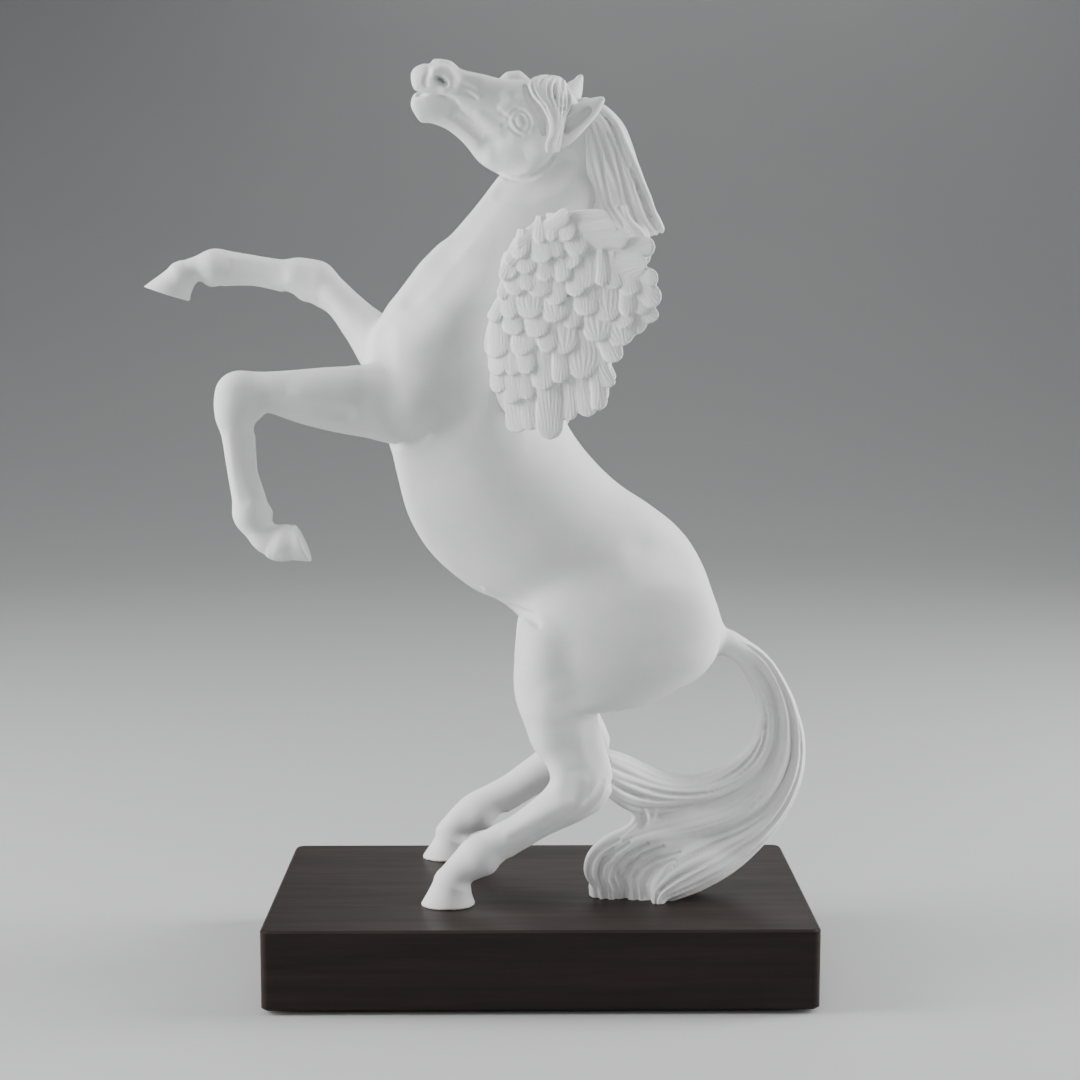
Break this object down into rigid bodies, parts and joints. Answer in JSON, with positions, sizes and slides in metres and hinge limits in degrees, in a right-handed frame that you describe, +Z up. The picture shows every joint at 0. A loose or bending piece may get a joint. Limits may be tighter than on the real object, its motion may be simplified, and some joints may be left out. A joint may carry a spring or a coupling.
{
  "type": "rearing winged horse statuette",
  "caption": "Matt white cast winged horse rearing on its hind hooves and tail, pinned to a dark rectangular wooden plinth.",
  "frame": {"origin": "centre of the felt's underside, on the surface the statuette stands on", "axes": "+X towards the tail end of the plinth (the horse faces -X), +Y to the horse's right, +Z up"},
  "size_m": [0.2532, 0.11, 0.3405],
  "materials": {
    "casting": "matt unglazed off-white",
    "plinth": "dark stained, satin",
    "felt": "black felt",
    "steel": "plain zinc-plated steel"
  },
  "bodies": {
    "root": {"body_casting": "casting", "head_casting": "casting", "left_ear": "casting", "right_ear": "casting", "forelock": "casting", "mane": "casting", "left_wing": "casting", "right_wing": "casting", "left_foreleg": "casting", "right_foreleg": "casting", "left_hind_leg": "casting", "right_hind_leg": "casting", "tail": "casting", "plinth": "plinth", "felt_sheet": "felt", "left_leg_rod": "steel", "right_leg_rod": "steel", "tail_stud": "steel", "washers": "steel", "hex_nuts": "steel", "wing_pegs": "steel", "foreleg_dowels": "steel", "neck_dowel": "steel", "tail_dowel": "steel"}
  },
  "joints": []
}
